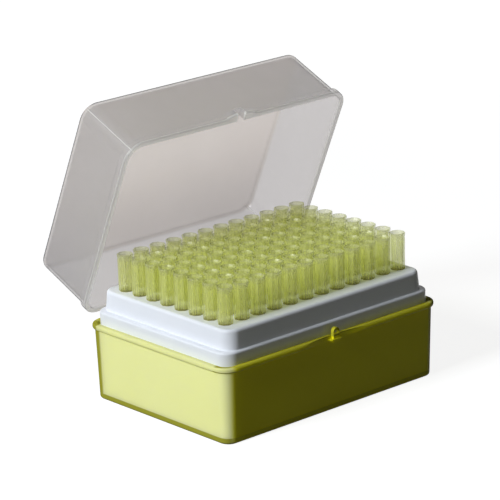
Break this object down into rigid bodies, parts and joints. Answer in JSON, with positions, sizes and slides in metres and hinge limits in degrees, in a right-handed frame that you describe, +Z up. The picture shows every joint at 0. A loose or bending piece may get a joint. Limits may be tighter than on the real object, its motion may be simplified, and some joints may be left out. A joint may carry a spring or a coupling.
{
  "type": "pipette tip box",
  "caption": "Hinged rack box of pipette tips: yellow tub, white stepped tip rack, loose tips in a grid and a frosted lid that swings open on two pin hinges.",
  "frame": {"origin": "centre of the tub's underside, on the surface that the box stands on", "axes": "+X along the long side, +Y towards the hinge, +Z up; the lid is drawn open"},
  "size_m": [0.1246, 0.1219, 0.1298],
  "materials": {
    "yellow_plastic": "translucent moulded polypropylene, slightly waxy",
    "white_plastic": "moulded, fine satin",
    "frosted_plastic": "translucent frosted moulding",
    "tip_plastic": "translucent yellow-green, glossy, finely ribbed"
  },
  "bodies": {
    "box": {"base_tub": "yellow_plastic", "tip_rack": "white_plastic", "tips_column_01": "tip_plastic", "tips_column_02": "tip_plastic", "tips_column_03": "tip_plastic", "tips_column_04": "tip_plastic", "tips_column_05": "tip_plastic", "tips_column_06": "tip_plastic", "tips_column_07": "tip_plastic", "tips_column_08": "tip_plastic", "tips_column_09": "tip_plastic", "tips_column_10": "tip_plastic", "tips_column_11": "tip_plastic", "tips_column_12": "tip_plastic"},
    "lid": {"lid": "frosted_plastic"}
  },
  "joints": [
    {"name": "lid_hinge", "type": "hinge", "parent": "box", "child": "lid", "pos_m": [0, 0.0472, 0.0333], "axis": [1, 0, 0], "range_deg": [0, 66]}
  ]
}
